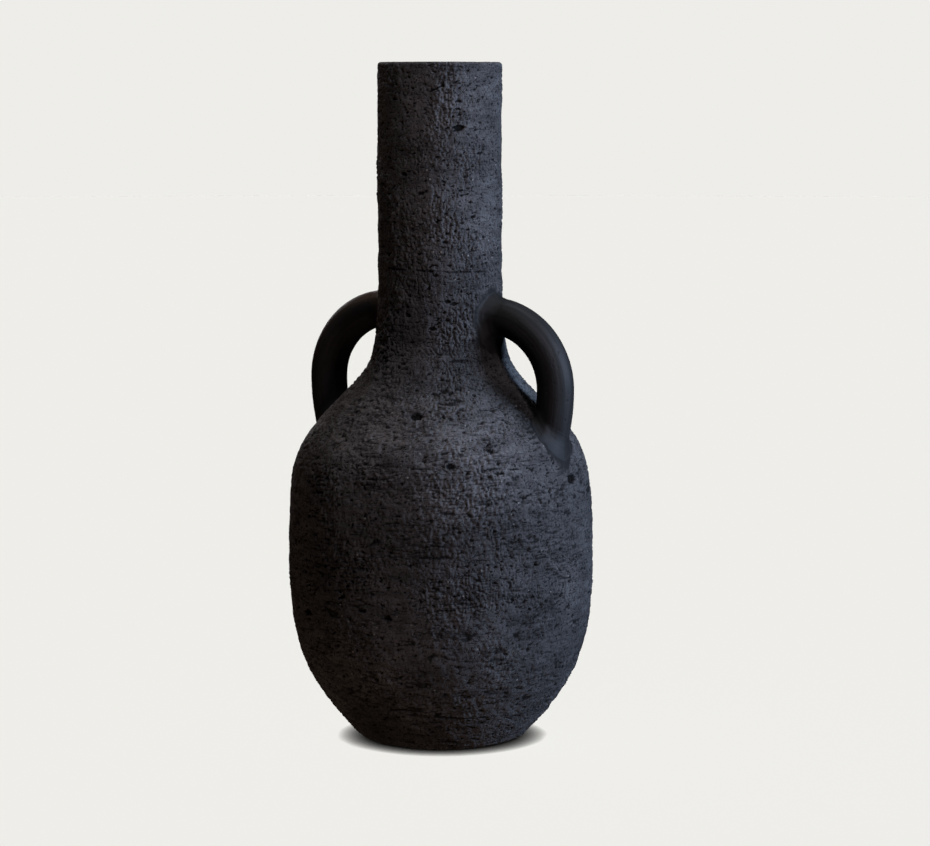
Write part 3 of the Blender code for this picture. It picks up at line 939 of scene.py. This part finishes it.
def clouds_and_painted_light(clay, place):
    """How much paler or darker the clay is made, in soft-edged clouds round a few middles; some are painted
    shadow and painted light beside the handles.
    """
    tone = 1.0
    for turn, level, height, reach, gain in CLOUDS_AND_PAINTED_LIGHT:
        angle = math.radians(turn)
        middle = (level * MM * math.cos(angle), level * MM * math.sin(angle), height * MM)
        apart = clay.node("ShaderNodeVectorMath", {"operation": "DISTANCE"}, {0: place, 1: middle}, "Value")
        near = clay.node("ShaderNodeMapRange", {"interpolation_type": "SMOOTHSTEP"},
                         {"Value": apart, "From Min": reach * MM, "From Max": 0.15 * reach * MM}, "Result")
        tone = near * gain + tone
    return tone


def clay_finish(name, rubbed_dark, rubbed_pale, shine):
    """Smoke-fired chamotte clay: clouded black, dull and open on the wall, closed and shinier where wiped;
    its hollows take soot and painted shade, and a few clouds are painted shadow and light.
    """
    clay = Finish(name)
    place = clay.node("ShaderNodeNewGeometry", {}, {}, "Position")

    def noise(scale, detail, roughness=0.5):
        """Even noise; scale is in lumps to the metre."""
        return clay.node("ShaderNodeTexNoise", {},
                         {"Vector": place, "Scale": scale, "Detail": detail, "Roughness": roughness}, "Fac")

    def stretched(across, upright, detail=1.0):
        """Noise drawn out sideways, as a scraper leaves it; both sizes in mm."""
        drawn = clay.node("ShaderNodeVectorMath", {"operation": "MULTIPLY"},
                          {0: place, 1: (1000.0 / across, 1000.0 / across, 1000.0 / upright)}, "Vector")
        return clay.node("ShaderNodeTexNoise", {}, {"Vector": drawn, "Scale": 1.0, "Detail": detail}, "Fac")

    hollow = clay.node("ShaderNodeAttribute", {"attribute_name": "hollow"}, {}, "Fac")
    wiped = clay.node("ShaderNodeAttribute", {"attribute_name": "wiped"}, {}, "Fac")
    coarse = 1.0 - wiped * 0.92
    cloud = noise(28.0, 3.0, 0.55)
    speckle = noise(1500.0, 2.0, 0.7)
    crumb = noise(620.0, 2.0, 0.6)
    pinholes = clay.ramp(noise(760.0, 1.0), (0.61, 0.0), (0.70, 1.0)) * coarse
    scratches = clay.ramp(stretched(7.0, 0.62), (0.61, 0.0), (0.71, 1.0)) * coarse
    crack_lines = clay.ramp((stretched(15.0, 2.4) - 0.5).math("ABSOLUTE"), (0.0, 1.0), (0.022, 0.0))
    cracks = crack_lines * clay.ramp(stretched(12.0, 5.0), (0.50, 0.0), (0.58, 1.0)) * coarse
    opened = (pinholes * 0.85).math("MAXIMUM", scratches * 0.55).math("MAXIMUM", cracks * 0.75)
    # Openings and the mesh's hollow share get the near-black colour: soot, and painted shade in the hollows
    pits = opened.math("MAXIMUM", hollow)

    smear = stretched(16.0, 5.0, 2.0)
    shade = cloud * 1.4 + smear * 1.2 + speckle * 1.35 + crumb * 0.6 - 1.78
    body = clay.mixed(shade, BODY_DARK, BODY_PALE)
    rubbed = clay.mixed(cloud * 1.4 + speckle * 0.3 - 0.35, rubbed_dark, rubbed_pale)
    skin = clay.mixed(wiped, body, rubbed)
    grit = clay.node("ShaderNodeTexVoronoi", {}, {"Vector": place, "Scale": 210.0}, "Distance")
    chosen = clay.ramp(noise(75.0, 0.0), (0.60, 0.0), (0.66, 1.0))
    fleck = clay.ramp(grit, (0.08, 1.0), (0.14, 0.0)) * chosen * (1.0 - wiped)
    flecked = clay.mixed(fleck * 0.75, skin, GROG)
    height = clay.node("ShaderNodeSeparateXYZ", {}, {0: place}, "Z")
    paler = clay.ramp(height * (1.0 / HEIGHT), *PALENESS) * PALENESS_GAIN * (1.0 - wiped) + wiped
    # Clay tone by height, times the clouds, some of which are painted shadow and painted light at the handles
    toned = clay.mixed(1.0, flecked, paler * clouds_and_painted_light(clay, place), "MULTIPLY")
    colour = clay.mixed(pits * 0.95, toned, SOOT_AND_PAINTED_SHADE)

    rough = 0.78 + pits * 0.15 - wiped * 0.16
    grains = (crumb * 1.8 + speckle * 0.8) * (coarse * 0.9 + 0.1)
    relief = grains - pinholes * 1.6 - scratches * 0.9 - cracks * 1.4
    bump = clay.node("ShaderNodeBump", {}, {"Distance": BUMP_DEPTH, "Height": relief}, "Normal")
    clay.fill(clay.shader, {
        "Base Color": colour, "Roughness": rough, "Normal": bump, "IOR": 1.45, "Specular IOR Level": shine,
    })
    return clay.material


# -------------------------------- floor, light and camera

FLOOR_GREY = (0.855, 0.847, 0.815)
FLOOR_HALF, FLOOR_DROP = 9.0, -0.15 * MM
SURROUND_R, SURROUND_FOOT, SURROUND_TOP, SURROUND_SIDES = 8.8, -0.01, 8.0, 64
PAINTED_SHADOW_REACH, PAINTED_SHADOW_FADE = 11.5 * MM, 1.9


def floor_finish_with_painted_shadow(name, colour):
    """A flat pale finish, with a painted contact shadow: darker close to where something stands on it."""
    plain = Finish(name)
    # Painted shadow: how open the floor is within a short reach darkens its colour round the jar's foot
    clear = plain.node("ShaderNodeAmbientOcclusion", {"samples": 16}, {"Distance": PAINTED_SHADOW_REACH}, "AO")
    tone = plain.mixed(clear.math("POWER", PAINTED_SHADOW_FADE), (0.0, 0.0, 0.0, 1.0), (*colour, 1.0))
    plain.fill(plain.shader, {"Base Color": tone, "Roughness": 1.0, "Specular IOR Level": 0.0})
    return plain.material


def glowing_finish(name, colour):
    """A finish that shows one even colour."""
    plain = Finish(name)
    glow = plain.node("ShaderNodeEmission", {}, {"Color": (*colour, 1.0)}, "Emission")
    plain.fill(plain.tree.nodes["Material Output"], {"Surface": glow})
    return plain.material


def stage_piece(name, points, faces, finish):
    """A piece of the floor or the surround, which only the camera sees."""
    mesh = bpy.data.meshes.new(name)
    mesh.from_pydata(points, [], faces)
    mesh.materials.append(finish)
    piece = bpy.data.objects.new(name, mesh)
    bpy.context.scene.collection.objects.link(piece)
    piece.visible_diffuse = piece.visible_glossy = piece.visible_shadow = False
    return piece


def make_stage():
    """A wide pale floor, and a pale surround past its edge."""
    corners = [(x * FLOOR_HALF, y * FLOOR_HALF, FLOOR_DROP) for x, y in ((-1, -1), (1, -1), (1, 1), (-1, 1))]
    floor = stage_piece("floor", corners, [(0, 1, 2, 3)], floor_finish_with_painted_shadow("pale_floor_painted_shadow", FLOOR_GREY))
    STAGE.objects.link(floor)
    sides = SURROUND_SIDES
    turns = np.linspace(0.0, TURN, sides, endpoint=False)
    ring = [(SURROUND_R * math.cos(a), SURROUND_R * math.sin(a)) for a in turns]
    points = [(x, y, z) for z in (SURROUND_FOOT, SURROUND_TOP) for x, y in ring]
    walls = [(i, (i + 1) % sides, sides + (i + 1) % sides, sides + i) for i in range(sides)]
    roof = tuple(range(sides, 2 * sides))
    stage_piece("surround", points, walls + [roof], glowing_finish("pale_surround", FLOOR_GREY))


def aim(item, place, target):
    """Put an object at a place, looking at a target."""
    item.location = place
    item.rotation_euler = (Vector(target) - Vector(place)).to_track_quat("-Z", "Y").to_euler()


# name, angle to the right of the view, distance from the axis, height, width, watts of red, green and blue
PANELS = (
    ("key_panel", 78.0, 1.52, 0.62, 0.35, (13.2, 18.2, 26.0)),
    ("front_panel", 38.0, 1.45, 0.86, 0.30, (7.7, 6.7, 7.1)),
    ("top_panel", 0.0, 0.00, 0.90, 0.50, (2.0, 2.1, 2.2)),
    ("low_panel", -62.0, 0.80, -1.20, 0.70, (3.5, 2.5, 1.9)),
    ("back_panel", -140.0, 1.03, 1.43, 0.70, (2.6, 1.1, 0.3)),
    ("rear_panel", -164.0, 1.52, 0.60, 0.60, (5.2, 5.0, 5.3)),
)
FLOOR_SUN = math.pi
ROOM_DARK = (0.0022, 0.0018, 0.0015, 1.0)


def add_lamp(name, kind, receivers):
    """A light that only one collection receives."""
    data = bpy.data.lights.new(name, kind)
    lamp = bpy.data.objects.new(name, data)
    bpy.context.scene.collection.objects.link(lamp)
    lamp.light_linking.receiver_collection = receivers
    return lamp, data


def make_lights():
    """Soft panels that light only the jar, a broad even light for the floor, and a dim room."""
    for name, turn, level, height, size, watts in PANELS:
        lamp, data = add_lamp(name, "AREA", JAR)
        power = max(watts)
        data.shape, data.size, data.energy = "DISK", size, power
        data.color = [share / power for share in watts]
        bearing = VIEW_TURN + math.radians(turn)
        aim(lamp, (level * math.sin(bearing), -level * math.cos(bearing), height), (0.0, 0.0, 0.2))
    lamp, data = add_lamp("floor_light", "SUN", STAGE)
    data.energy = FLOOR_SUN
    lamp.location = (0.0, 0.0, 2.0)
    lamp.light_linking.blocker_collection = STAGE
    world = bpy.data.worlds.new("dim_room")
    world.use_nodes = True
    world.node_tree.nodes["Background"].inputs["Color"].default_value = ROOM_DARK
    bpy.context.scene.world = world


VIEW_DISTANCE = 1.8
EYE_HEIGHT = 0.388
LOOK_DOWN = math.radians(6.36)
LOOK_RIGHT = math.radians(0.468)
LENS, SENSOR = 118.2, 36.0


def make_camera():
    """The viewing angle: a little above the belly, with the right handle coming forward."""
    data = bpy.data.cameras.new("camera")
    data.lens, data.sensor_width = LENS, SENSOR
    camera = bpy.data.objects.new("camera", data)
    bpy.context.scene.collection.objects.link(camera)
    camera.location = (VIEW_DISTANCE * math.sin(VIEW_TURN), -VIEW_DISTANCE * math.cos(VIEW_TURN), EYE_HEIGHT)
    camera.rotation_euler = (math.pi / 2 - LOOK_DOWN, 0.0, VIEW_TURN - LOOK_RIGHT)
    bpy.context.scene.camera = camera


# -------------------------------- the whole jar

def make_jar():
    """Every visible piece, each in place of its plain solid."""
    body = clay_finish("chamotte_clay", WIPED_DARK, WIPED_PALE, BODY_SHINE)
    wiped = clay_finish("handle_clay", WIPED_DARK, WIPED_PALE, WIPED_SHINE)
    luting = clay_finish("luting_clay", LUTING_DARK, LUTING_PALE, LUTING_SHINE)
    make_base_dish(body)
    for name, low, high in RINGS:
        make_wall_ring(name, low, high, body)
    make_rim_ring(body)
    for side in SIDES:
        make_handle(side, wiped)
        for which in ROOTS:
            make_fillet(which, side, luting)


make_jar()
make_stage()
make_lights()
make_camera()
bpy.context.scene.view_settings.view_transform = "Standard"
